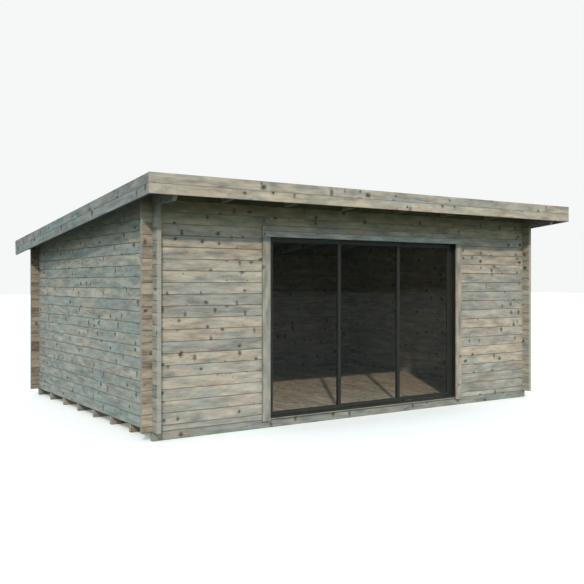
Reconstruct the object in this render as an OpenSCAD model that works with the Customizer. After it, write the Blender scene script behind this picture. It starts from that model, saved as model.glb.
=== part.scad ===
// Garden house of interlocking wall logs, with a lean-to roof that falls to the back
// and a glazed sliding door across the middle of the front. All sizes are millimetres.
// The origin is on the ground, under the middle of the roof. +Y runs from front to back.

/* [Walls] */
// Width between the outer faces of the side walls
house_w = 5310; // [4400:10:6600]
// Depth between the outer faces of the front and back walls
house_d = 3780; // [3000:10:4800]
// Thickness of a wall log
log_t = 44; // [34:1:58]
// Height that one course of logs covers
log_h = 114; // [110:1:140]
// Full courses in the front wall, above its starting half log
front_courses = 19; // [19:1:22]
// Full courses in the back wall, above its starting half log
back_courses = 16; // [14:1:18]
// Length of the log ends past a corner
corner_reach = 105; // [70:5:160]
// Depth of the V cut along each edge of a log
groove = 5; // [2:0.5:8]

/* [Base] */
// Number of floor bearers
bearer_count = 8; // [5:1:10]
// How much wider a bearer is than a log, as the floor's seat on the end bearers
floor_seat = 1; // [1:1:30]
// Height of a floor bearer
bearer_h = 85; // [45:5:120]
// Thickness of the floor boards
floor_t = 19; // [16:1:28]

/* [Roof] */
// Number of rafters between the side walls
rafter_count = 6; // [4:1:9]
// Width of a rafter
rafter_w = 44; // [34:1:70]
// Upright depth of a rafter
rafter_h = 95; // [70:5:140]
// Thickness of the roof boards
deck_t = 18; // [15:1:24]
// Thickness of the roofing felt
felt_t = 3; // [2:0.5:5]
// Reach of the roof in front of the front wall
front_reach = 504; // [300:2:700]
// Reach of the roof behind the back wall
rear_reach = 210; // [150:5:320]
// Reach of the roof past each side wall
side_reach = 250; // [180:5:350]
// How far the lower edge of an eaves log stops short of the front of the roof
eaves_setback = 72; // [30:2:120]
// Lean of an eaves log's end, in degrees from upright
eaves_rake = 35; // [15:1:50]

/* [Fascia] */
// Thickness of a fascia board
fascia_t = 20; // [16:1:28]
// Upright height of one fascia board
fascia_h = 95; // [70:5:120]
// Height that the fascia stands above the felt
fascia_lip = 16; // [5:1:30]

/* [Door casing] */
// How far the side casings together cover the jambs and the door
casing_cover = 47; // [20:1:90]
// Width of a side casing
casing_w = 97; // [80:1:140]
// Thickness of the casing boards
casing_t = 20; // [15:1:28]
// Height of the top casing and of the trim board above it
casing_h = 60; // [45:1:90]
// Underside of the top casing, above the bearers
casing_head_z = 1902; // [1800:2:2000]
// Length of the side casings below the top of the bearers
casing_drop = 15; // [0:1:45]
// Height of the sill board between the side casings
sill_board_h = 10; // [8:1:30]
// Offset of the middle of the casing to the right of the middle of the house
casing_shift = 13; // [0:1:40]

/* [Sliding door] */
// Width between the jambs
door_w = 2701; // [2200:1:3300]
// Offset of the door frame to the right of the middle of the casing
door_shift = 12; // [0:1:40]
// Thickness of a jamb
jamb_t = 25; // [15:1:40]
// Thickness of the head
head_t = 30; // [20:1:40]
// Height of the sill, without its rails
sill_h = 22; // [15:1:30]
// Distance from one track to the next
track_pitch = 24; // [22:1:45]
// Thickness of a door panel
panel_t = 15; // [12:1:17]
// Width of the panel rails and of the stiles where two panels overlap
stile_w = 37; // [30:1:70]
// Width of the fixed panel's stile beside its jamb
fixed_stile_w = 24; // [20:1:70]
// Width of the last panel's closing stile, which holds its lock
closing_stile_w = 90; // [37:1:120]
// Thickness of the glass
glass_t = 8; // [4:1:12]
// Height of the rails that the panels roll on
rail_h = 8; // [5:1:12]
// Width of the rails that the panels roll on
rail_w = 6; // [4:1:10]
// Clearance around a sliding panel
door_gap = 5; // [5:1:8]
// Running gap between a shoe and its rail
run_gap = 0.3; // [0.2:0.1:0.5]

/* [Hidden] */

pale_wood = "#b9b3a3";
grey_wood = "#98a09a";
raw_wood = "#c4a987";
dark_metal = "#3a3d3e";
felt_grey = "#4a4c4b";
glass_tint = [0.35, 0.42, 0.42, 0.45];

over = 10;      // how far a cutting shape runs past what it cuts
lay_gap = 0.3;  // under the roof boards and under the felt, where they lie on a slope
half_h = log_h / 2;
quarter_h = log_h / 4;

// Tops of the full logs, and the fall of the roof that joins them. Every height from here
// on is above the bearers.
front_top = half_h + front_courses * log_h;
back_top = half_h + back_courses * log_h;
fall = (front_top - back_top) / (house_d - log_t);

// Heights of the roof's layers over the outer face of the front wall
rafter_top = front_top + rafter_h;
deck_z = rafter_top + lay_gap;
felt_z = deck_z + deck_t + lay_gap;
fascia_z = felt_z + felt_t + fascia_lip;

roof_front = fascia_t - front_reach;
roof_tail = house_d + rear_reach;
// Back end of the rafters and roof boards. The rear board stays between the side fascias,
// whose ends are cut square to the slope.
roof_back = roof_tail - fascia_t - fall * fascia_h;
roof_left = fascia_t - side_reach;
roof_right = house_w - roof_left;
front_fascia_z = fascia_z + fall * front_reach;

rafter_pitch = house_w / (rafter_count + 1);
bearer_w = log_t + floor_seat;
bearer_pitch = (house_d - bearer_w) / (bearer_count - 1);

// Lower edge of the eaves logs, which carry on the side walls' top course to the fascia
eaves_z = front_courses * log_h;
eaves_y = eaves_setback - front_reach;

casing_clear_w = door_w + 2 * jamb_t - casing_cover;
casing_mid = house_w / 2 + casing_shift;
casing_x = casing_mid - casing_clear_w / 2 - casing_w;
casing_outer_w = casing_clear_w + 2 * casing_w;
trim_z = casing_head_z + casing_h;

// Door frame. The panels overlap by one stile, and the last one stops short of its jamb.
door_left = casing_mid + door_shift - door_w / 2;
door_right = door_left + door_w;
frame_left = door_left - jamb_t;
frame_right = door_right + jamb_t;
frame_w = frame_right - frame_left;
frame_d = 3 * track_pitch;
panel_w = (door_w - door_gap + 2 * stile_w) / 3;
panel_step = panel_w - stile_w;
panel_z = sill_h + rail_h + door_gap;
panel_top = casing_head_z - 2 * door_gap;
panel_h = panel_top - panel_z;
head_z = panel_top + door_gap;
frame_top = head_z + head_t;
shoe_l = 60;      // length of the shoes and guides of a panel
shoe_inset = 80;  // from the side of a panel to its shoe
shoe_w = 10;
guide_w = 8;
guide_gap = 1;    // clearance on each side of a guide
guide_slot = 12;  // depth of the guides' slots in the head

// The front wall is split beside and over the door, at the first seam above its frame
split_course = ceil((frame_top - half_h) / log_h);
split_z = half_h + split_course * log_h;

// Moves a piece that is laid out from the front left corner, on the bearers, into place
module place() {
    translate([-house_w / 2, -(roof_tail - front_reach) / 2, bearer_h]) children();
}

// Runs a shape drawn in Y and Z along X, from x0 to x1
module run_x(x0, x1) {
    translate([x0, 0, 0]) rotate([90, 0, 90]) linear_extrude(x1 - x0) children();
}

// Runs a shape drawn in X and Z along Y, from y0 to y1
module run_y(y0, y1) {
    translate([0, y1, 0]) rotate([90, 0, 0]) linear_extrude(y1 - y0) children();
}

// A board of upright thickness h that follows the roof. z is its underside at the front
// wall's outer face.
module sloped_board(x0, x1, y0, y1, z, h) {
    run_x(x0, x1) polygon([[y0, z - fall * y0], [y1, z - fall * y1],
        [y1, z + h - fall * y1], [y0, z + h - fall * y0]]);
}

// Edges of the logs from one edge up to the first one past a height
function log_edges(start, top) = [for (z = start; z < top + log_h; z = z + log_h) z];

// One face of stacked logs, with a V between each pair. inward is 1 or -1 and points into
// the log.
function stacked_face(x, inward, edges) = [
    [x + inward * groove, edges[0]],
    for (i = [0:len(edges) - 2]) each [
        [x, edges[i] + groove], [x, edges[i + 1] - groove],
        [x + inward * groove, edges[i + 1]]]];

function reversed(points) = [for (i = [len(points) - 1:-1:0]) points[i]];

// Cross-section of a wall of whole logs
module log_section(edges) {
    polygon(concat(stacked_face(0, 1, edges), reversed(stacked_face(log_t, -1, edges))));
}

// Everything over the tops of the rafters
module above_rafters() {
    sloped_board(-corner_reach - over, house_w + corner_reach + over,
        -front_reach - over, roof_tail + over, rafter_top, 4 * log_h);
}

// Room for the logs that cross a wall at a corner, one every course from the first centre
module crossings(corner, size, first, count) {
    for (i = [0:count - 1])
        translate([corner[0], corner[1], first + i * log_h - quarter_h])
            cube([size[0], size[1], 2 * quarter_h]);
}

// Both corners of a front or back wall: the side walls' logs pass through the crossing,
// and over the wall's last full log they have it to themselves
module corner_cuts(y, first_course, last_course) {
    top = half_h + last_course * log_h;
    for (x = [0, house_w - log_t])
        crossings([x, y - over], [log_t, log_t + 2 * over], half_h + first_course * log_h,
            last_course - first_course + 1);
    for (x = [-corner_reach - over, house_w - log_t])
        translate([x, y - over, top])
            cube([corner_reach + over + log_t, log_t + 2 * over, rafter_h + 2 * log_h]);
}

module bearer(i) {
    color(grey_wood) place()
        translate([0, (i - 1) * bearer_pitch, -bearer_h]) cube([house_w, bearer_w, bearer_h]);
}

module floor() {
    color(raw_wood) place() difference() {
        translate([log_t, log_t, 0])
            cube([house_w - 2 * log_t, house_d - 2 * log_t, floor_t]);
        translate([frame_left, 0, -over]) cube([frame_w, frame_d, floor_t + 2 * over]);
    }
}

// Front logs beside the door, from x0 to x1
module front_side(x0, x1) {
    color(pale_wood) place() difference() {
        run_x(x0, x1)
            log_section([0, for (i = [0:split_course]) half_h + i * log_h]);
        corner_cuts(0, 0, front_courses);
    }
}

module front_wall_left() {
    front_side(-corner_reach, frame_left);
}

module front_wall_right() {
    front_side(frame_right, house_w + corner_reach);
}

// Logs over the door, from corner to corner, with the piece that comes down to its frame
module front_wall_top() {
    color(pale_wood) place() {
        difference() {
            run_x(-corner_reach, house_w + corner_reach)
                log_section(log_edges(split_z, rafter_top));
            corner_cuts(0, split_course, front_courses);
            above_rafters();
            rafters();
        }
        run_x(frame_left, frame_right) log_section([frame_top, split_z]);
    }
}

// A side wall, with its top course carried out under the roof to the front fascia
module side_wall(x) {
    color(pale_wood) place() difference() {
        translate([x, 0, 0]) run_y(roof_front, house_d + corner_reach)
            log_section(log_edges(0, rafter_top - fall * roof_front));
        above_rafters();
        y_out = roof_front - over;
        run_x(x - over, x + log_t + over) polygon([
            [y_out, -over], [-corner_reach, -over], [-corner_reach, eaves_z],
            [eaves_y, eaves_z], [y_out, eaves_z + (eaves_y - y_out) / tan(eaves_rake)]]);
        crossings([x - over, 0], [log_t + 2 * over, log_t], 0, front_courses + 1);
        crossings([x - over, house_d - log_t], [log_t + 2 * over, log_t], 0,
            back_courses + 1);
    }
}

module left_wall() {
    side_wall(0);
}

module right_wall() {
    side_wall(house_w - log_t);
}

module back_wall() {
    color(pale_wood) place() difference() {
        translate([0, house_d - log_t, 0]) run_x(-corner_reach, house_w + corner_reach)
            log_section(concat([0], log_edges(half_h, rafter_top - fall * (house_d - log_t))));
        corner_cuts(house_d - log_t, 0, back_courses);
        above_rafters();
        rafters();
    }
}

module rafter_blank(i) {
    x = i * rafter_pitch - rafter_w / 2;
    sloped_board(x, x + rafter_w, roof_front, roof_back, front_top, rafter_h);
}

module rafters() {
    for (i = [1:rafter_count]) rafter_blank(i);
}

module rafter(i) {
    color(grey_wood) place() rafter_blank(i);
}

module roof_boards() {
    color(grey_wood) place()
        sloped_board(roof_left, roof_right, roof_front, roof_back, deck_z, deck_t);
}

module roof_felt() {
    color(felt_grey) place()
        sloped_board(roof_left, roof_right, roof_front, roof_back + fascia_t, felt_z, felt_t);
}

// One of the two stacked boards along the front of the roof: row 0 is the upper one
module front_fascia(row) {
    color(pale_wood) place()
        translate([-side_reach, -front_reach, front_fascia_z - (row + 1) * fascia_h])
            cube([house_w + 2 * side_reach, fascia_t, fascia_h]);
}

module front_fascia_upper() {
    front_fascia(0);
}

module front_fascia_lower() {
    front_fascia(1);
}

// Point on the square-cut back end of a side fascia, an upright drop below its top edge
function tail_point(drop) = let (h = drop / (1 + fall * fall))
    [roof_tail - fall * h, fascia_z - fall * roof_tail - h];

// One of the two stacked boards along a side of the roof, on its outer side at x
module side_fascia(x, row) {
    top = row * fascia_h;
    low = top + fascia_h;
    color(pale_wood) place() run_x(x, x + fascia_t) polygon([
        [roof_front, fascia_z - top - fall * roof_front], tail_point(top), tail_point(low),
        [roof_front, fascia_z - low - fall * roof_front]]);
}

module left_fascia_upper() {
    side_fascia(-side_reach, 0);
}

module left_fascia_lower() {
    side_fascia(-side_reach, 1);
}

module right_fascia_upper() {
    side_fascia(roof_right, 0);
}

module right_fascia_lower() {
    side_fascia(roof_right, 1);
}

// Board across the back ends of the rafters, level with the roof boards
module rear_board() {
    color(pale_wood) place() sloped_board(roof_left, roof_right, roof_back,
        roof_back + fascia_t, deck_z + deck_t - fascia_h, fascia_h);
}

// A flat board on the face of the front wall, around the door
module casing_board(x, z, w, h) {
    color(grey_wood) place() translate([x, -casing_t, z]) cube([w, casing_t, h]);
}

module casing_left() {
    casing_board(casing_x, -casing_drop, casing_w, casing_head_z + casing_drop);
}

module casing_right() {
    casing_board(casing_x + casing_w + casing_clear_w, -casing_drop, casing_w,
        casing_head_z + casing_drop);
}

module casing_top() {
    casing_board(casing_x, casing_head_z, casing_outer_w, casing_h);
}

module door_trim() {
    casing_board(casing_x, trim_z, casing_outer_w, casing_h);
}

module sill_board() {
    casing_board(casing_x + casing_w, 0, casing_clear_w, sill_board_h);
}

// Middle of a track, from the front face of the wall: track 0 is the outermost
function track_y(track) = (track + 0.5) * track_pitch;

module door_head() {
    slot_w = guide_w + 2 * guide_gap;
    color(dark_metal) place() difference() {
        translate([frame_left, 0, head_z]) cube([frame_w, frame_d, head_t]);
        for (track = [0:2])
            translate([door_left, track_y(track) - slot_w / 2, head_z - over])
                cube([door_w, slot_w, guide_slot + over]);
    }
}

module door_sill() {
    color(dark_metal) place() {
        translate([frame_left, 0, 0]) cube([frame_w, frame_d, sill_h]);
        for (track = [0:2])
            translate([door_left, track_y(track) - rail_w / 2, sill_h])
                cube([door_w, rail_w, rail_h]);
    }
}

module jamb(x) {
    color(dark_metal) place() translate([x, 0, sill_h]) cube([jamb_t, frame_d, head_z - sill_h]);
}

module jamb_left() {
    jamb(frame_left);
}

module jamb_right() {
    jamb(door_right);
}

// Width of a panel's left and right stiles
function left_stile_w(track) = track == 0 ? fixed_stile_w : stile_w;
function right_stile_w(track) = track == 2 ? closing_stile_w : stile_w;

// Where the glass of a panel starts, and its width
function glass_x(track) = door_left + track * panel_step + left_stile_w(track);
function glass_w(track) = panel_w - left_stile_w(track) - right_stile_w(track);

// Frame of the door panel on a track, with its shoes below and its guides above
module panel_frame(track) {
    x = door_left + track * panel_step;
    y = track_y(track);
    rail_top = sill_h + rail_h;
    guide_top = head_z + guide_slot - door_gap;
    color(dark_metal) place() {
        difference() {
            translate([x, y - panel_t / 2, panel_z]) cube([panel_w, panel_t, panel_h]);
            translate([glass_x(track), y - panel_t, panel_z + stile_w])
                cube([glass_w(track), 2 * panel_t, panel_h - 2 * stile_w]);
        }
        for (shoe_x = [x + shoe_inset, x + panel_w - shoe_inset - shoe_l]) {
            translate([shoe_x, y - shoe_w / 2, rail_top + run_gap])
                cube([shoe_l, shoe_w, panel_z - rail_top - run_gap]);
            translate([shoe_x, y - guide_w / 2, panel_top])
                cube([shoe_l, guide_w, guide_top - panel_top]);
        }
    }
}

// Glass of the door panel on a track, held between its stiles and rails
module panel_glass(track) {
    color(glass_tint) place()
        translate([glass_x(track), track_y(track) - glass_t / 2, panel_z + stile_w])
            cube([glass_w(track), glass_t, panel_h - 2 * stile_w]);
}

for (i = [1:bearer_count]) {
    bearer(i);
}
for (i = [1:rafter_count]) {
    rafter(i);
}
floor();
front_wall_left();
front_wall_right();
front_wall_top();
left_wall();
right_wall();
back_wall();
roof_boards();
roof_felt();
front_fascia_upper();
front_fascia_lower();
left_fascia_upper();
left_fascia_lower();
right_fascia_upper();
right_fascia_lower();
rear_board();
casing_left();
casing_right();
casing_top();
door_trim();
sill_board();
door_head();
door_sill();
jamb_left();
jamb_right();
panel_frame(0);  // left_panel_frame
panel_glass(0);  // left_panel_glass
panel_frame(1);  // middle_panel_frame
panel_glass(1);  // middle_panel_glass
panel_frame(2);  // right_panel_frame
panel_glass(2);  // right_panel_glass
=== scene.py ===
import math
import random

import bmesh
import bpy
from mathutils import Matrix, Vector


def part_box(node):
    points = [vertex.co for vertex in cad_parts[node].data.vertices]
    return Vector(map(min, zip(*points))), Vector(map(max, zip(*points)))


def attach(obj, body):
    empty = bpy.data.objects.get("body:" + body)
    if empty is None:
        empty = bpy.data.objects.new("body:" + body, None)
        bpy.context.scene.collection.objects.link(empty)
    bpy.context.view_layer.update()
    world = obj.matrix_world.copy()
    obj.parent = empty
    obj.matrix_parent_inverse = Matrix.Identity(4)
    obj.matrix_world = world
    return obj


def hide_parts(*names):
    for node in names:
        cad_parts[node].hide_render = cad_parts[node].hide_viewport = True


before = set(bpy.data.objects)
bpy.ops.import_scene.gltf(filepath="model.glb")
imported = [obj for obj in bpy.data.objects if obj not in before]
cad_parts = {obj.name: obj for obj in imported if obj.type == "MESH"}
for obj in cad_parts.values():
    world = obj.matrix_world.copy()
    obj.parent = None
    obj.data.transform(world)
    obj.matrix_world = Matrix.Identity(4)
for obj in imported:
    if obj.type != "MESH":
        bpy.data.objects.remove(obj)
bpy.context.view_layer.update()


# ---- Studio ----------------------------------------------------------------------------
# A camera at standing eye height off the front left corner, a pale matt floor, even light
# from all round and one broad soft lamp high on the left of the front.
scene = bpy.context.scene
camera = bpy.data.objects.new("camera", bpy.data.cameras.new("camera"))
scene.collection.objects.link(camera)
scene.camera = camera
camera.data.lens = 48.2
camera.data.shift_y = -0.016
camera.location = (-5.682, -8.651, 1.510)
camera.rotation_euler = (math.radians(90), 0, math.radians(-33.79))
scene.view_settings.view_transform = "Standard"


def paint(colour):
    """The linear values that a shader takes for an sRGB hex colour."""
    levels = [int(colour[i:i + 2], 16) / 255 for i in (1, 3, 5)]
    return [c / 12.92 if c <= 0.04045 else ((c + 0.055) / 1.055) ** 2.4 for c in levels] + [1]


def add(tree, kind, inputs=(), **settings):
    """Adds a shader node with its settings. Its inputs are given by name or in order, each
    as a value, an output, or a node whose first output is meant."""
    node = tree.nodes.new("ShaderNode" + kind)
    for name, value in settings.items():
        setattr(node, name, value)
    sockets = [s for s in node.inputs if s.enabled]
    for key, value in inputs.items() if isinstance(inputs, dict) else enumerate(inputs):
        socket = node.inputs[key] if isinstance(key, str) else sockets[key]
        if isinstance(value, bpy.types.Node):
            value = next(s for s in value.outputs if s.enabled)
        if isinstance(value, bpy.types.NodeSocket):
            tree.links.new(value, socket)
        else:
            socket.default_value = value
    return node


sun = bpy.data.lights.new("key_lamp", "SUN")
sun.energy = 1.85
sun.angle = math.radians(1.5)
sun.color = paint("#ffeedb")[:3]
lamp = bpy.data.objects.new("key_lamp", sun)
scene.collection.objects.link(lamp)
lamp.rotation_euler = Vector((0.835, 1.34, -1)).to_track_quat("-Z", "Y").to_euler()

# The light from all round is cool from above, weak from below and weak near the horizon.
# The backdrop behind the house is brighter than the light that it gives.
sky = bpy.data.worlds.new("studio")
scene.world = sky
sky.use_nodes = True
t = sky.node_tree
t.nodes.clear()
up = add(t, "SeparateXYZ", [add(t, "TexCoord").outputs["Generated"]]).outputs["Z"]
fill = add(t, "Mix", [add(t, "MapRange", [up, -0.05, 0.3, 0, 1]), paint("#595c4e"),
                      paint("#c0d2dc")], data_type="RGBA")
soft = add(t, "Background", [fill, 1.75])
backdrop = add(t, "Background", [paint("#f6f7f7"), 1.0])
add(t, "OutputWorld", [add(t, "MixShader", [add(t, "LightPath").outputs["Is Camera Ray"],
                                            soft, backdrop])])

paper = bpy.data.materials.new("matt_studio_paper")
paper.use_nodes = True
for socket, value in (("Base Color", paint("#fafaf8")), ("Roughness", 0.9),
                      ("Emission Color", paint("#fafaf8")), ("Emission Strength", 0.12)):
    paper.node_tree.nodes["Principled BSDF"].inputs[socket].default_value = value
spread = bmesh.new()
bmesh.ops.create_grid(spread, x_segments=1, y_segments=1, size=90)
floor_mesh = bpy.data.meshes.new("studio_floor")
spread.to_mesh(floor_mesh)
spread.free()
floor_mesh.materials.append(paper)
studio_floor = bpy.data.objects.new("studio_floor", floor_mesh)
scene.collection.objects.link(studio_floor)
studio_floor.visible_diffuse = False


# ---- Floor bearers ---------------------------------------------------------------------
# Eight pressure-treated joists laid flat on the ground across the house, sawn on all
# sides, with the arrises knocked off. They carry the floor and the side walls' first logs.
chance = random.Random(44)


def softwood(name, sound, grey, blue, pink, ends, knot, dirt, knotty=1.0, rim=0.45, rough=0.82,
             painted_eaves_shade=None):
    """Planed or sawn spruce, matt and fibrous: growth rings, patches and streaks along the
    board, knots with stained and slanting grain round them, and dirt along its edges. Each
    board brings its own grain coordinates in metres, its tone, its seed and its half width.
    Painted eaves shade darkens the wood close under the roof, standing in for the shade there:
    its colour and strength, the roof's height at the middle of the house, and the roof's fall."""
    wood = bpy.data.materials.new(name)
    wood.use_nodes = True
    t = wood.node_tree
    t.nodes.clear()
    grain = add(t, "Attribute", attribute_name="grain").outputs["Vector"]
    board = add(t, "Attribute", attribute_name="board").outputs["Vector"]
    cut = add(t, "Attribute", attribute_name="cut").outputs["Fac"]
    tone, seed, half = add(t, "SeparateXYZ", [board]).outputs
    across = add(t, "SeparateXYZ", [grain]).outputs["Y"]
    place = add(t, "VectorMath", [board, (0, 37, 53), grain], operation="MULTIPLY_ADD")

    # Patches, blotches and streaks, by their length along the grain and width in millimetres
    marks = []
    for long, wide, detail in ((450, 90, 2), (320, 70, 3), (520, 85, 2), (230, 56, 3),
                               (260, 9, 4)):
        fit = add(t, "VectorMath", [place, (1000 / long, 1000 / wide, 1000 / wide),
                                    (long, wide, detail)], operation="MULTIPLY_ADD")
        marks.append(add(t, "TexNoise", [fit, 1, detail, 0.6]))
    patch, stain, blush, blotch, streak = marks

    # Knots: pin knots in some of the 80 mm squares, and a big one in about half of the 170 mm
    # squares, 14 to 40 mm wide. Each is ragged and oval. The big ones have a red-brown middle,
    # stained wood round them, and a thin dark branch that slants away through the grain.
    ragged = add(t, "TexNoise", [place, 55, 3])
    cores = []
    for cell, share, least, most in ((0.08, 0.1, 0.0035, 0.008),
                                     (0.17, 0.46 * knotty, 0.007, 0.005 + 0.014 * knotty)):
        spot = add(t, "TexVoronoi", [place, 1 / cell], voronoi_dimensions="2D")
        taken, size, kind = add(t, "SeparateColor", [spot.outputs["Color"]]).outputs
        taken = add(t, "Math", [taken, share], operation="LESS_THAN")
        radius = add(t, "Math", [add(t, "Math", [size, 1.3], operation="POWER"), most - least,
                                 least], operation="MULTIPLY_ADD")
        off = add(t, "SeparateXYZ", [add(t, "VectorMath", [place, spot.outputs["Position"]],
                                         operation="SUBTRACT")])
        oval = add(t, "MapRange", [kind, 0, 1, 0.7, 1.5])
        near = add(t, "VectorMath", [add(t, "CombineXYZ", [
            add(t, "Math", [off.outputs[0], oval], operation="MULTIPLY"),
            add(t, "Math", [off.outputs[1], oval], operation="DIVIDE")])], operation="LENGTH")
        near = add(t, "Math", [ragged, 0.02, near.outputs["Value"]], operation="MULTIPLY_ADD")
        near = add(t, "Math", [add(t, "Math", [near, 0.01], operation="SUBTRACT"), radius],
                   operation="DIVIDE")
        core = add(t, "MapRange", [near, 1.6, 0.45, 0, 1], interpolation_type="SMOOTHSTEP")
        cores.append(add(t, "Math", [core, taken], operation="MULTIPLY"))
    # From here on, near, taken, size and kind are those of the big knots
    pins = add(t, "Math", [cores[0], add(t, "MapRange", [streak, 0.4, 0.6, 0.35, 0.95])],
               operation="MULTIPLY")
    knots = add(t, "Math", [cores[1], add(t, "MapRange", [kind, 0.4, 0.8, 1, 0.45])],
                operation="MULTIPLY")
    core = add(t, "Math", [pins, knots], operation="MAXIMUM")
    halo = add(t, "MapRange", [near, 5, 1.5, 0, 1], interpolation_type="SMOOTHSTEP")
    halo = add(t, "Math", [halo, taken], operation="MULTIPLY")
    smudge = add(t, "MapRange", [near, 3.2, 0.9, 0, 1], interpolation_type="SMOOTHSTEP")
    for part in (taken, add(t, "MapRange", [streak, 0.35, 0.6, 0.2, 0.85])):
        smudge = add(t, "Math", [smudge, part], operation="MULTIPLY")
    middle = add(t, "Math", [add(t, "MapRange", [near, 0.75, 0.35, 0, 0.45]), taken],
                 operation="MULTIPLY")
    lean = add(t, "Math", [off.outputs[0], 6, add(t, "MapRange", [kind, 0, 1, -1.5, 1.5])],
               operation="MULTIPLY_ADD")
    branch = add(t, "Math", [off.outputs[0], lean, off.outputs[1]], operation="MULTIPLY_ADD")
    branch = add(t, "MapRange", [add(t, "Math", [branch], operation="ABSOLUTE"), 0.01, 0.002,
                                 0, 1], interpolation_type="SMOOTHSTEP")
    near_by = add(t, "MapRange", [add(t, "Math", [off.outputs[0]], operation="ABSOLUTE"),
                                  0.06, 0.02, 0, 1])
    for part in (near_by, taken, add(t, "MapRange", [size, 0.25, 0.5, 0, 1]),
                 add(t, "MapRange", [blotch, 0.38, 0.6, 0, 1])):
        branch = add(t, "Math", [branch, part], operation="MULTIPLY")

    # Growth rings round a heart 50 mm behind the face. The real ones are 3 mm apart and are
    # drawn at 6 mm, so that they show.
    ring_gap = 0.006
    heart = add(t, "CombineXYZ", [0, add(t, "MapRange", [seed, 0, 1, -0.06, 0.06]), -0.05])
    ring = add(t, "VectorMath", [add(t, "VectorMath", [
        add(t, "VectorMath", [grain, heart], operation="SUBTRACT"), (0, 1, 1)],
        operation="MULTIPLY")], operation="LENGTH").outputs["Value"]
    ring = add(t, "Math", [patch, 0.045, ring], operation="MULTIPLY_ADD")
    ring = add(t, "Math", [halo, 0.014, ring], operation="MULTIPLY_ADD")
    ring = add(t, "Math", [add(t, "Math", [ring, 2 * math.pi / ring_gap],
                               operation="MULTIPLY")], operation="SINE")

    # Greyer and bluer with the board's tone; a tone below nought is reddish and darker
    aged = add(t, "Math", [tone, 0.4, patch], operation="MULTIPLY_ADD")
    bluish = add(t, "Math", [tone, 0.25, stain], operation="MULTIPLY_ADD")
    reddish = add(t, "MapRange", [tone, -0.1, -1, 0, 1])
    face = add(t, "Mix", [add(t, "MapRange", [aged, 0.5, 0.74, 0, 1]),
                          paint(sound), paint(grey)], data_type="RGBA")
    face = add(t, "Mix", [add(t, "MapRange", [bluish, 0.54, 0.74, 0, 0.9]), face,
                          paint(blue)], data_type="RGBA")
    face = add(t, "Mix", [add(t, "Math", [add(t, "MapRange", [blush, 0.5, 0.68, 0, 0.6]),
                          add(t, "Math", [reddish, 0.68], operation="MULTIPLY")],
                          operation="MAXIMUM"), face, paint(pink)], data_type="RGBA")
    face = add(t, "Mix", [add(t, "Math", [halo, add(t, "MapRange", [kind, 0.3, 0.6, 0, 0.3])],
                              operation="MULTIPLY"), face, paint(blue)], data_type="RGBA")
    depth = add(t, "Math", [blotch, 1.6, -0.08], operation="MULTIPLY_ADD")
    depth = add(t, "Math", [seed, 0.14, depth], operation="MULTIPLY_ADD")
    depth = add(t, "Math", [streak, 0.45, depth], operation="MULTIPLY_ADD")
    depth = add(t, "Math", [ring, 0.035, depth], operation="MULTIPLY_ADD")
    pale = add(t, "Math", [halo, add(t, "MapRange", [size, 0.2, 0.8, -0.1, 0.3])],
               operation="MULTIPLY")
    depth = add(t, "Math", [pale, depth], operation="ADD")
    depth = add(t, "Math", [reddish, -0.42, depth], operation="MULTIPLY_ADD")
    face = add(t, "VectorMath", {"Vector": face, "Scale": depth}, operation="SCALE")
    face = add(t, "Mix", [add(t, "Math", [add(t, "Math", [branch, 0.8], operation="MULTIPLY"),
                          smudge], operation="MAXIMUM"), face, paint(dirt)],
               data_type="RGBA")
    face = add(t, "Mix", [add(t, "Math", [core, 0.9], operation="MULTIPLY"), face,
                          paint(knot)], data_type="RGBA")
    red_brown = paint("#6a4d3a")
    face = add(t, "Mix", [middle, face, red_brown], data_type="RGBA")
    face = add(t, "Mix", [add(t, "Math", [cut, 0.75], operation="MULTIPLY"), face,
                          paint(ends)], data_type="RGBA")
    # Dirt within 7 mm of the long edges
    edge = add(t, "Math", [half, add(t, "Math", [across], operation="ABSOLUTE")],
               operation="SUBTRACT")
    edge = add(t, "MapRange", [edge, 0.0075, 0.002, 0, rim], interpolation_type="SMOOTHSTEP")
    edge = add(t, "Math", [edge, add(t, "Math", [cut, -0.5, 1], operation="MULTIPLY_ADD")],
               operation="MULTIPLY")
    face = add(t, "Mix", [edge, face, paint(dirt)], data_type="RGBA")

    # Painted shade: close under the roof the wood turns towards the given hue, as the shade
    # there darkens it
    if painted_eaves_shade:
        hue, thick, under, slant = painted_eaves_shade
        x, y, z = add(t, "SeparateXYZ", [add(t, "TexCoord").outputs["Object"]]).outputs
        below = add(t, "Math", [y, slant, z], operation="MULTIPLY_ADD")
        face = add(t, "Mix", [add(t, "MapRange", [below, under - 0.32, under - 0.02, 0, thick]),
                              face, paint(hue)], data_type="RGBA")

    height = add(t, "Math", [ring, 0.12, streak], operation="MULTIPLY_ADD")
    height = add(t, "Math", [core, -0.6, height], operation="MULTIPLY_ADD")
    bump = add(t, "Bump", {"Height": height, "Strength": 0.5, "Distance": 0.0015})
    dull = add(t, "Math", [streak, 0.18, rough - 0.09], operation="MULTIPLY_ADD")
    dull = add(t, "Math", [core, -0.18, dull], operation="MULTIPLY_ADD")
    shader = add(t, "BsdfPrincipled", {"Base Color": face, "Roughness": dull,
                                       "Normal": bump, "IOR": 1.45})
    shader.inputs["Specular IOR Level"].default_value = 0.3
    add(t, "OutputMaterial", [shader])
    return wood


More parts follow.
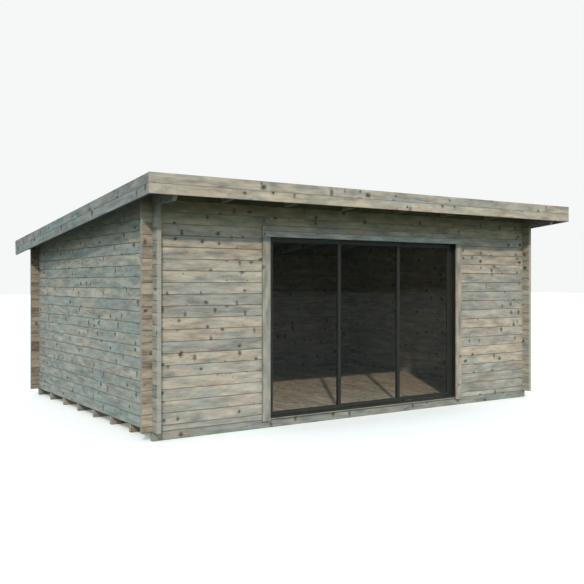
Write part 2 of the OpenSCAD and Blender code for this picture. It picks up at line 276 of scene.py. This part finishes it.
def timber(whole, low, high, run, ease=0.002, tone=(0, 1), notches=(), planes=(), warp=None,
           span=None, finish=0):
    """Adds one piece of timber to a bmesh: a block from low to high whose grain runs as
    the letters of run say, along, across and into its face. Its edges are eased, notches
    are cut over and under its core, planes cut it off, and warp leans it. Beyond the span
    it is reddish. Its finish is the first of the piece's materials, or the second."""
    low, high = Vector(low), Vector(high)
    middle, size = (low + high) / 2, high - low
    a, c, d = ("xyz".index(letter) for letter in run)
    one = bmesh.new()
    bmesh.ops.create_cube(one, size=1, matrix=Matrix.LocRotScale(middle, None, size))
    long_edges = [e for e in one.edges
                  if abs(e.verts[0].co[a] - e.verts[1].co[a]) > size[a] / 2]
    bmesh.ops.bevel(one, geom=long_edges, offset=ease, segments=1, profile=0.5,
                    affect="EDGES", material=-1)
    for start, end, core_low, core_high in notches:
        for at in (start - 0.0005, start, end, end + 0.0005):
            spot, way = Vector(), Vector()
            spot[a], way[a] = at, 1
            bmesh.ops.bisect_plane(one, geom=one.verts[:] + one.edges[:] + one.faces[:],
                                   plane_co=spot, plane_no=way)
        for v in one.verts:
            if start - 0.0001 < v.co[a] < end + 0.0001:
                v.co.z = min(max(v.co.z, core_low), core_high)
    for spot, way in planes:
        kept = bmesh.ops.bisect_plane(one, geom=one.verts[:] + one.edges[:] + one.faces[:],
                                      plane_co=spot, plane_no=way, clear_outer=True)
        bmesh.ops.holes_fill(one, edges=[e for e in kept["geom_cut"]
                                         if isinstance(e, bmesh.types.BMEdge)])
    grain = one.verts.layers.float_vector.new("grain")
    board = one.verts.layers.float_vector.new("board")
    cut = one.faces.layers.float.new("cut")
    slide, hue, seed = chance.uniform(0, 40), chance.uniform(*tone), chance.random()
    red = chance.uniform(-1, -0.4)
    for v in one.verts:
        v[grain] = (v.co[a] + slide, v.co[c] - middle[c], v.co[d] - middle[d])
        outside = span and not span[0] - 0.0001 < v.co[a] < span[1] + 0.0001
        v[board] = (red if outside else hue, seed, size[c] / 2)
    one.normal_update()
    for f in one.faces:
        f[cut] = float(abs(f.normal[a]) > 0.7)
        f.material_index = finish
    if warp:
        bmesh.ops.transform(one, matrix=warp, verts=one.verts[:])
    made = bpy.data.meshes.new("timber")
    one.to_mesh(made)
    one.free()
    whole.from_mesh(made)
    bpy.data.meshes.remove(made)


def finished(name, whole, body, slot, materials, *nodes):
    """Makes a bmesh a piece of the house, which rides on a body and stands for any CAD
    nodes that it is given."""
    mesh = bpy.data.meshes.new(name)
    whole.to_mesh(mesh)
    whole.free()
    for material in materials if isinstance(materials, tuple) else (materials,):
        mesh.materials.append(material)
    made = bpy.data.objects.new(name, mesh)
    scene.collection.objects.link(made)
    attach(made, body)
    if nodes:
        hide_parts(*nodes)
    return made


# Green-brown treated softwood that has dried grey
treated_joist = softwood("treated_sawn_spruce", sound="#9e9a89", grey="#94968d",
                         blue="#858b8b", pink="#9b8c7d", ends="#a8a595", knot="#40352a",
                         dirt="#4c4a42")
for i in range(1, 9):
    bearer = bmesh.new()
    timber(bearer, *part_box(f"bearer_{i}"), "xzy", ease=0.003)
    finished(f"floor_bearer_{i}", bearer, "house", "bearer_timber", treated_joist, f"bearer_{i}")


# ---- Wall logs -------------------------------------------------------------------------
# Planed spruce logs, 44 mm thick and 114 mm high, stacked with a V along each joint and
# notched over each other at the corners. The side walls' logs lie half a course lower.
log_h, log_t, vee, reach, rake = 0.114, 0.044, 0.005, 0.105, math.radians(35)
log_gap = 0.00005
half_core = log_h / 4 - 0.0002
left_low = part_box("left_wall")[0]
right_low, right_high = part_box("right_wall")
top_low, top_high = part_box("front_wall_top")
back_low, back_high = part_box("back_wall")
door_low, door_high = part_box("door_head")
ground = left_low.z
front_y, back_y = top_low.y, back_high.y
# The front wall is nineteen and a half courses high, and the back wall is three fewer
front_full, back_full = ground + 19.5 * log_h, ground + 16.5 * log_h
fall = (front_full - back_full) / (back_high.y - log_t - front_y)
rafter_h = 0.095
rafter_top = front_full + rafter_h
above = (Vector((0, front_y, rafter_top)), Vector((0, fall, 1)))

# Weathering has turned the logs silver-grey, with warmer wood where the eaves shelter them.
# The side walls are bluer and the back is darker. Painted shade darkens all of them close
# under the roof, and the boards and short logs up there are painted dark for the eaves' shade.
eaves_shade_line = (rafter_top + fall * front_y, fall)
# Painted shade under the roof: warm-toned on the front and back walls, cool on the side walls
warm_eaves_shade, cool_eaves_shade = ("#3f3e2b", 0.76, *eaves_shade_line), ("#444f4a", 0.6, *eaves_shade_line)
weathered = softwood("weathered_planed_spruce", sound="#c1b5a3", grey="#aeaba0",
                     blue="#9b9d98", pink="#b7a698", ends="#9a9e98", knot="#3a3027",
                     dirt="#534d44")
eaves_log = softwood("sheltered_wall_spruce", sound="#c4b9a2", grey="#b0ae9d",
                     blue="#98a197", pink="#b6a798", ends="#9a9e98", knot="#3a3027",
                     dirt="#6d6a5c", rim=0.12, painted_eaves_shade=warm_eaves_shade)
# Painted shade: wood darkened for the deep shade under the eaves, for the soffit boards and the
# short logs between the rafters
shade_darkened_eaves_wood = softwood("shaded_eaves_spruce", sound="#5f5a41", grey="#565540",
                      blue="#4e523e", pink="#5d543c", ends="#5f5a41", knot="#2a2119",
                      dirt="#2c2a1d")
side_wood = softwood("weathered_side_spruce", sound="#bab1a1", grey="#a3a49a", blue="#8f9996",
                     pink="#b3a396", ends="#afa899", knot="#332a22", dirt="#504d45",
                     painted_eaves_shade=cool_eaves_shade)
# The back wall's wood is darker than the other walls'
back_wood = softwood("darker_back_spruce", sound="#a89f8e", grey="#97958a", blue="#878b86",
                     pink="#9d8f83", ends="#86857c", knot="#332a22", dirt="#494640",
                     painted_eaves_shade=warm_eaves_shade)


def course(index, start, top):
    """The lower and upper edge of a log, a hair clear of its neighbours."""
    low = max(start + index * log_h, ground)
    return low + log_gap, min(start + (index + 1) * log_h, top) - log_gap


def notch(edge, centre):
    """Where a log's core passes between two logs of the other wall at a corner."""
    return edge, edge + log_t, max(centre - half_core, ground), centre + half_core


# The side walls, whose top two courses carry on under the roof as raked brackets
setback = 0.052
for name, x, tone in (("left", left_low.x, (0.4, 1)), ("right", right_low.x, (0, 0.6))):
    wall = bmesh.new()
    for k in range(21):
        low, high = course(k, ground, rafter_top + log_h)
        centre = ground + (k + 0.5) * log_h
        planes = [above]
        if k > 18:
            planes.append((Vector((0, left_low.y + setback, ground + 19 * log_h)),
                           Vector((0, -math.cos(rake), -math.sin(rake)))))
        sway = chance.uniform(-0.0006, 0.0006)
        timber(wall, (x + sway, left_low.y if k > 18 else front_y - reach, low),
               (x + log_t + sway, back_y + reach, high), "yzx", ease=vee, tone=tone,
               planes=planes, notches=[notch(front_y, centre)] * (k < 19)
               + [notch(back_y - log_t, centre)] * (k < 16))
    finished(f"{name}_wall_logs", wall, "house", "wall_logs", side_wood, f"{name}_wall")

# The front wall beside the door, then over it, and the back wall. Splashes and driving rain
# have turned some of the courses greyer, and the logs under the eaves keep clean.
greyer = (0, 1, 2, 7, 10, 11, 12)
rafters = [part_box(f"rafter_{i}") for i in range(1, 7)]
bays = [left_low.x + log_t] + [edge.x for box in rafters for edge in box] \
    + [right_high.x - log_t]
for name, y, courses, start, end in (
        ("front_wall_left", front_y, range(18), top_low.x, door_low.x),
        ("front_wall_right", front_y, range(18), door_high.x, top_high.x),
        ("front_wall_top", front_y, range(18, 21), top_low.x, top_high.x),
        ("back_wall", back_y - log_t, range(18), back_low.x, back_high.x)):
    wall = bmesh.new()
    for k in courses:
        low, high = course(k, ground - log_h / 2, rafter_top)
        centre = ground + k * log_h
        full = front_full if y == front_y else back_full
        spans = list(zip(bays[::2], bays[1::2])) if centre > full else [(start, end)]
        for left, right in spans:
            sway = chance.uniform(-0.0006, 0.0006)
            timber(wall, (left, y + sway, low), (right, y + log_t + sway, high), "xzy",
                   ease=vee, tone=(0.55, 0.95) if k in greyer else (0.1, 0.6),
                   planes=[above] * (centre > full),
                   notches=[notch(edge, centre)
                            for edge in (left_low.x, right_high.x - log_t)
                            if left < edge < right], span=(left_low.x, right_high.x),
                   finish=int(centre > full))
    if name == "front_wall_top":
        timber(wall, (door_low.x, y, door_high.z), (door_high.x, y + log_t,
               ground + 17.5 * log_h - 0.0002), "xzy", ease=vee, tone=(0, 0.85))
    # The short logs between the rafters take the second finish, the wood painted dark as shade
    logs = {"front_wall_top": eaves_log, "back_wall": back_wood}.get(name, weathered)
    finished(f"{name}_logs", wall, "house", "wall_logs", (logs, shade_darkened_eaves_wood), name)


# ---- Floor -----------------------------------------------------------------------------
# Tongued and grooved spruce boards nailed across the bearers, left bare and still warm in
# colour, with a hairline V at each joint. They stop at the back of the door frame.
bare_floor = softwood("bare_spruce_flooring", sound="#f7e7cc", grey="#eadfc8",
                      blue="#d5ceba", pink="#efd5ba", ends="#e2c6a0", knot="#5f3f29",
                      dirt="#8a765f", knotty=1.1, rough=0.6)
deck = bmesh.new()
low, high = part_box("floor")
rows = 46
width = (high.x - low.x) / rows
for i in range(rows):
    left = low.x + i * width
    inside = left + width > door_low.x and left < door_high.x
    timber(deck, (left + 0.0003, door_high.y if inside else low.y, low.z),
           (left + width - 0.0003, high.y, high.z), "yxz", ease=0.0018)
finished("floor_boards", deck, "house", "floor_boards", bare_floor, "floor")


# ---- Rafters ---------------------------------------------------------------------------
# Six planed rafters that lie on the front and back walls, notched into their top logs, and
# carry the roof past both. They fall to the back with the roof.
slope = Matrix.Identity(4)
slope[2][1], slope[2][3] = -fall, fall * front_y
rafter_wood = softwood("planed_rafter_spruce", sound="#a89f86", grey="#9a9780",
                       blue="#8a8c7c", pink="#a4907a", ends="#a19a86", knot="#3a3026",
                       dirt="#45423a")
for i, (low, high) in enumerate(rafters, 1):
    joist = bmesh.new()
    timber(joist, (low.x, low.y, front_full), (high.x, high.y, rafter_top), "yzx",
           ease=0.003, warp=slope)
    finished(f"roof_rafter_{i}", joist, "house", "rafter_timber", rafter_wood, f"rafter_{i}")


# ---- Roof boards -----------------------------------------------------------------------
# Tongued and grooved boards across the rafters, with V joints below. Their undersides show
# under the eaves, painted dark for the deep shade there.
deck = bmesh.new()
low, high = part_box("roof_boards")
lay_gap, board_t = 0.0003, 0.018
base = rafter_top + lay_gap
rows = 46
width = (high.y - low.y) / rows
for i in range(rows):
    timber(deck, (low.x, low.y + i * width + 0.0002, base),
           (high.x, low.y + (i + 1) * width - 0.0002, base + board_t), "xyz", ease=0.004,
           warp=slope)
finished("eaves_and_roof_boards", deck, "house", "roof_boards", shade_darkened_eaves_wood, "roof_boards")


# ---- Roofing felt ----------------------------------------------------------------------
# Bitumen felt with crushed slate on it, laid in strips a metre wide from the back up, each
# lapped 80 mm over the one below, nailed along the laps and turned up behind the fascias.
felt = bpy.data.materials.new("slate_faced_bitumen_felt")
felt.use_nodes = True
t = felt.node_tree
t.nodes.clear()
where = add(t, "TexCoord").outputs["Object"]
own = add(t, "SeparateXYZ", [add(t, "Attribute", attribute_name="board").outputs["Vector"]])
# The real grit is 1 mm across and is drawn at 9 mm, so that it shows
grit = add(t, "TexNoise", [where, 110, 3, 0.8])
wear = add(t, "TexNoise", [where, 1.6, 4, 0.6])
tint = add(t, "Math", [own.outputs["X"], 0.3, wear], operation="MULTIPLY_ADD")
face = add(t, "Mix", [add(t, "MapRange", [tint, 0.4, 0.95, 0, 1]), paint("#4c5050"),
                      paint("#6b6d69")], data_type="RGBA")
face = add(t, "VectorMath", {"Vector": face, "Scale": add(t, "MapRange", [
    grit, 0.3, 0.7, 0.65, 1.35])}, operation="SCALE")
moss = add(t, "MapRange", [add(t, "TexNoise", [where, 5.5, 5, 0.7]), 0.6, 0.75, 0, 0.5])
face = add(t, "Mix", [moss, face, paint("#5a5c44")], data_type="RGBA")
bump = add(t, "Bump", {"Height": grit, "Strength": 0.6, "Distance": 0.002})
add(t, "OutputMaterial", [add(t, "BsdfPrincipled", {
    "Base Color": face, "Normal": bump,
    "Roughness": add(t, "MapRange", [grit, 0.3, 0.7, 0.95, 0.75])})])

# Hot-dip galvanised steel, dulled by the rain to a soft mottled grey
galvanised = bpy.data.materials.new("weathered_galvanised_steel")
galvanised.use_nodes = True
t = galvanised.node_tree
t.nodes.clear()
bloom = add(t, "TexNoise", [add(t, "TexCoord").outputs["Object"], 300, 2])
add(t, "OutputMaterial", [add(t, "BsdfPrincipled", {
    "Base Color": add(t, "Mix", [bloom, paint("#6f7273"), paint("#9a9c9c")],
                      data_type="RGBA"),
    "Metallic": 1.0, "Roughness": add(t, "MapRange", [bloom, 0.3, 0.7, 0.4, 0.65])})])


def heads(name, spots, way, radius, slot, warp=None):
    """Makes a piece of nail or screw heads, each a low eight-sided dome that stands on a
    face which looks the way given."""
    group = bmesh.new()
    turn = Vector(way).to_track_quat("Z", "Y").to_matrix().to_4x4()
    for spot in spots:
        bmesh.ops.create_cone(group, cap_ends=True, segments=8, radius1=radius,
                              radius2=radius * 0.7, depth=0.0008,
                              matrix=Matrix.Translation(spot) @ turn)
    if warp:
        bmesh.ops.transform(group, matrix=warp, verts=group.verts[:])
    finished(name, group, "house", slot, galvanised)


low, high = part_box("roof_felt")
felt_t, strip_w, lap, turn_up = 0.003, 1.0, 0.08, 0.015
base = rafter_top + board_t + 2 * lay_gap
skin = bmesh.new()
rear, laps = high.y, []
while rear > low.y + 0.05:
    front = max(rear - strip_w, low.y)
    lift = felt_t / (rear - front) if laps else 0
    over = slope.copy()
    over[2][1] += lift
    over[2][3] -= lift * front
    timber(skin, (low.x, front, base), (high.x, rear, base + felt_t), "xyz", ease=0.0006,
           warp=over)
    laps.append(rear - 0.02)
    rear = front + lap if front > low.y else front
for x in (low.x, high.x - felt_t):
    timber(skin, (x, low.y, base), (x + felt_t, high.y - 0.012, base + turn_up), "yzx",
           ease=0.0006, warp=slope)
timber(skin, (low.x, low.y, base), (high.x, low.y + felt_t, base + turn_up), "xzy",
       ease=0.0006, warp=slope)
finished("felt_strips", skin, "house", "roof_felt", felt, "roof_felt")
over_lap = base + 2 * felt_t + 0.0004
heads("felt_nails", [(low.x + 0.06 + 0.1 * i, y, over_lap) for y in laps for i in range(57)],
      (0, 0, 1), 0.006, "roof_felt", slope)


# ---- Fascias ---------------------------------------------------------------------------
# Two planed boards, one above the other, screwed along the front of the roof and nailed along
# both sides, and one board across the back ends of the rafters. The front ones catch the sun,
# and the side ones are bluer and knottier.
front_fascia = softwood("weathered_fascia_spruce", sound="#b3aa99", grey="#a1a097",
                        blue="#8e9693", pink="#ab9b8f", ends="#a0a39c", knot="#3a2f25",
                        dirt="#5c5850", knotty=1.2, rim=0.35)
side_fascia = softwood("weathered_side_fascia_spruce", sound="#9c9b91", grey="#909590",
                       blue="#7e8988", pink="#968c83", ends="#949a96", knot="#302822",
                       dirt="#4c4a45", knotty=1.4, rim=0.35)
tall, lip = 0.095, 0.016
lip_z = base + felt_t + lip
tail_plane = (Vector((0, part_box("left_fascia_upper")[1].y, lip_z)),
              Vector((0, 1 + fall * fall, -fall)))
# Each board's face is set back a little, so that the nail and screw heads stay in its box
head_room = 0.001
for row, name in enumerate(("upper", "lower")):
    low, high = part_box(f"front_fascia_{name}")
    plank = bmesh.new()
    timber(plank, (low.x, low.y + head_room, low.z + 0.0003), (high.x, high.y, high.z), "xzy",
           ease=0.0015, tone=(0, 0.5))
    finished(f"front_fascia_board_{name}", plank, "house", "fascia_boards", front_fascia,
             f"front_fascia_{name}")
    for side in ("left", "right"):
        low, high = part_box(f"{side}_fascia_{name}")
        plank = bmesh.new()
        shift = head_room if side == "left" else 0
        timber(plank, (low.x + shift, low.y, lip_z - (row + 1) * tall + 0.0003),
               (high.x - head_room + shift, tail_plane[0].y + 0.02, lip_z - row * tall), "yzx",
               ease=0.0015, tone=(0.3, 0.9), planes=[tail_plane], warp=slope)
        finished(f"{side}_fascia_board_{name}", plank, "house", "fascia_boards", side_fascia,
                 f"{side}_fascia_{name}")

# Screws, two to a board, into the rafters and the side walls' brackets
screwed = [low.x + 0.05 for low, high in rafters[1:-1]]
screwed += [left_low.x + 0.02, right_high.x - 0.02]
spots = []
for name in ("upper", "lower"):
    low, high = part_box(f"front_fascia_{name}")
    spots += [(x, low.y + 0.0006, z) for x in screwed for z in (low.z + 0.022, high.z - 0.022)]
heads("front_fascia_screws", spots, (0, -1, 0), 0.0045, "fascia_boards")

# Nails along the side boards, one high and one low by turns
for side, way, face_x in (("left", -1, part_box("left_fascia_upper")[0].x + 0.0006),
                          ("right", 1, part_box("right_fascia_upper")[1].x - 0.0006)):
    spots = [(face_x, low.y + 0.1 + 0.15 * i + 0.02 * (i % 3),
              lip_z - tall * row - 0.03 - 0.035 * (i % 2))
             for row in (0, 1) for i in range(29)]
    heads(f"{side}_fascia_nails", spots, (way, 0, 0), 0.005, "fascia_boards", slope)

low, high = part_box("rear_board")
plank = bmesh.new()
board_top = rafter_top + lay_gap + board_t
timber(plank, (low.x, low.y, board_top - tall), (high.x, high.y, board_top), "xzy",
       ease=0.0025, tone=(0.3, 1), warp=slope)
finished("rear_fascia_board", plank, "house", "fascia_boards", side_fascia, "rear_board")


# ---- Door frame ------------------------------------------------------------------------
# Powder-coated aluminium sections, anthracite and satin: a sill with three rails of the
# same coat, a head with three guide slots and a jamb at each side, screwed to the wall's ends.
anthracite = bpy.data.materials.new("anthracite_powder_coated_aluminium")
anthracite.use_nodes = True
t = anthracite.node_tree
t.nodes.clear()
where = add(t, "TexCoord").outputs["Object"]
dust = add(t, "TexNoise", [add(t, "VectorMath", [where, (3, 3, 1)], operation="MULTIPLY"),
                           4, 4, 0.6])
low_down = add(t, "MapRange", [add(t, "SeparateXYZ", [where]).outputs["Z"],
                               ground + 0.2, ground, 0, 0.12])
dust = add(t, "Math", [add(t, "MapRange", [dust, 0.45, 0.8, 0, 0.2]), low_down],
           operation="ADD")
# The coat's orange peel is 1 mm across and is drawn at 4 mm
peel = add(t, "TexNoise", [where, 250, 1])
bump = add(t, "Bump", {"Height": peel, "Strength": 0.15, "Distance": 0.0004})
coat = add(t, "BsdfPrincipled", {
    "Base Color": add(t, "Mix", [dust, paint("#2e302c"), paint("#55534c")],
                      data_type="RGBA"),
    "Normal": bump, "IOR": 1.5, "Specular IOR Level": 0.12,
    "Roughness": add(t, "Math", [dust, 0.4, 0.5], operation="MULTIPLY_ADD")})
add(t, "OutputMaterial", [coat])


def section(whole, low, high, ease=0.001):
    """Adds a length of straight section to a bmesh, with its corners eased."""
    low, high = Vector(low), Vector(high)
    made = bmesh.ops.create_cube(whole, size=1, matrix=Matrix.LocRotScale(
        (low + high) / 2, None, high - low))["verts"]
    bmesh.ops.bevel(whole, geom=list({e for v in made for e in v.link_edges}), offset=ease,
                    segments=2, profile=0.5, affect="EDGES", material=-1)


pitch = (door_high.y - door_low.y) / 3
head = bmesh.new()
slots = [door_low.y] + [door_low.y + pitch * (i + 0.5) + e for i in range(3)
                        for e in (-0.005, 0.005)] + [door_high.y]
for near, far in zip(slots[::2], slots[1::2]):
    section(head, (door_low.x, near, door_low.z), (door_high.x, far, door_low.z + 0.012),
            0.0006)
section(head, (door_low.x, door_low.y, door_low.z + 0.012), door_high, 0.0006)
finished("door_head_section", head, "house", "door_profiles", anthracite, "door_head")
low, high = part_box("door_sill")
sill = bmesh.new()
section(sill, low, (high.x, high.y, low.z + 0.022))
for i in range(3):
    y = low.y + pitch * (i + 0.5)
    section(sill, (low.x + 0.025, y - 0.003, low.z + 0.021), (high.x - 0.025, y + 0.003,
            high.z), 0.0015)
finished("door_sill_section", sill, "house", "door_profiles", anthracite, "door_sill")
for side in ("left", "right"):
    low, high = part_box(f"jamb_{side}")
    post = bmesh.new()
    section(post, low, high)
    finished(f"door_jamb_{side}", post, "house", "door_profiles", anthracite, f"jamb_{side}")


# ---- Door panels -----------------------------------------------------------------------
# Three panels on three tracks: stiles and rails of the same aluminium round toughened
# glass, which black rubber beads hold on both faces. Shoes run on the sill's rails, and
# guides run in the head. The left panel is fixed, and the right one has a foot bolt.
beading = bpy.data.materials.new("black_rubber_bead")
beading.use_nodes = True
t = beading.node_tree
t.nodes.clear()
worn = add(t, "TexNoise", [add(t, "TexCoord").outputs["Object"], 30, 3])
add(t, "OutputMaterial", [add(t, "BsdfPrincipled", {
    "Base Color": add(t, "Mix", [worn, paint("#151616"), paint("#262726")],
                      data_type="RGBA"),
    "Roughness": add(t, "MapRange", [worn, 0.3, 0.7, 0.6, 0.8])})])

# Toughened glass with a grey tint: it darkens the room behind and mirrors what is in front
glass = bpy.data.materials.new("tinted_toughened_glass")
glass.use_nodes = True
t = glass.node_tree
t.nodes.clear()
smear = add(t, "TexNoise", [add(t, "TexCoord").outputs["Object"], 3.5, 4, 0.6])
pane = add(t, "BsdfPrincipled", {
    "Base Color": paint("#0d130e"), "IOR": 1.52, "Alpha": 0.19, "Specular IOR Level": 0.32,
    "Roughness": add(t, "MapRange", [smear, 0.45, 0.75, 0.02, 0.09])})
add(t, "OutputMaterial", [pane])

stile = 0.037
for panel, body in (("left", "house"), ("middle", "middle_panel"), ("right", "right_panel")):
    low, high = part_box(f"{panel}_panel_frame")
    near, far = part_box(f"{panel}_panel_glass")
    y = (near.y + far.y) / 2
    front, back = y - 0.0075, y + 0.0075
    bottom, top = near.z - stile, far.z + stile
    leaf = bmesh.new()
    for left, right in ((low.x, near.x), (far.x, high.x)):
        section(leaf, (left, front, bottom), (right, back, top), 0.0012)
    for z in (bottom, top - stile):
        section(leaf, (near.x, front + 0.0003, z), (far.x, back - 0.0003, z + stile), 0.0012)
    for x in (low.x + 0.08, high.x - 0.14):
        section(leaf, (x, y - 0.005, low.z), (x + 0.06, y + 0.005, bottom + 0.001), 0.0008)
        section(leaf, (x, y - 0.004, top - 0.001), (x + 0.06, y + 0.004, high.z), 0.0008)
    finished(f"{panel}_door_leaf", leaf, body, "door_profiles", anthracite,
             f"{panel}_panel_frame")
    bead = bmesh.new()
    for inner, outer in ((near.y - 0.0031, near.y), (far.y, far.y + 0.0031)):
        for x in (near.x, far.x - 0.004):
            section(bead, (x, inner, near.z), (x + 0.004, outer, far.z), 0.0008)
        for z in (near.z, far.z - 0.004):
            section(bead, (near.x + 0.004, inner, z), (far.x - 0.004, outer, z + 0.004),
                    0.0008)
    finished(f"{panel}_glass_beads", bead, body, "door_profiles", beading)
    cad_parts[f"{panel}_panel_glass"].material_slots[0].material = glass

# The foot bolt in the closing stile: a black rim, 150 mm tall, round a sunk pull
foot = bmesh.new()
x, z = far.x + 0.012, bottom + 0.055
for side, up, wide, long in ((-0.01, 0, 0.003, 0.15), (0.007, 0, 0.003, 0.15),
                             (-0.007, 0, 0.014, 0.003), (-0.007, 0.147, 0.014, 0.003)):
    section(foot, (x + side, front - 0.0018, z + up),
            (x + side + wide, front + 0.001, z + up + long), 0.0006)
section(foot, (x - 0.007, front - 0.0004, z + 0.003), (x + 0.007, front + 0.001, z + 0.147),
        0.0003)
finished("closing_stile_foot_bolt", foot, "right_panel", "door_profiles", beading)


# ---- Door casing -----------------------------------------------------------------------
# Smooth planed boards screwed to the face of the wall round the door: two uprights, a head
# with a trim board over it, and a low board in front of the sill.
casing_wood = softwood("planed_casing_spruce", sound="#b5aa9a", grey="#a09f94",
                       blue="#93958f", pink="#b0a296", ends="#a8a698", knot="#3b3127",
                       dirt="#57534a", knotty=0.9, rim=0.3, rough=0.75)
sheltered = softwood("sheltered_casing_spruce", sound="#cbc2b4", grey="#bdbbb3",
                     blue="#acb2af", pink="#c7b6a8", ends="#b1afa4", knot="#453a2f",
                     dirt="#6b675c", knotty=0.6, rim=0.3, rough=0.75)
for node, run, tone, wood in (("casing_left", "zxy", (0.5, 0.9), casing_wood),
                              ("casing_right", "zxy", (0, 0.2), casing_wood),
                              ("casing_top", "xzy", (0.5, 0.9), sheltered),
                              ("door_trim", "xzy", (0.2, 0.5), weathered),
                              ("sill_board", "xzy", (0, 0.4), casing_wood)):
    low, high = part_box(node)
    plank = bmesh.new()
    timber(plank, low, high, run, ease=0.0025, tone=tone)
    finished(node + "_board", plank, "house", "casing_boards", wood, node)

# Screws in pairs up the uprights and singly along the other boards
spots = []
for node in ("casing_left", "casing_right"):
    low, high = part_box(node)
    spots += [(x, low.y - 0.0004, low.z + 0.06 + 0.45 * i) for x in (low.x + 0.02, high.x - 0.02)
              for i in range(5)]
for node in ("casing_top", "door_trim", "sill_board"):
    low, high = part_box(node)
    spots += [(low.x + 0.15 + 0.48 * i, low.y - 0.0004, (low.z + high.z) / 2)
              for i in range(6)]
heads("casing_screws", spots, (0, -1, 0), 0.004, "casing_boards")
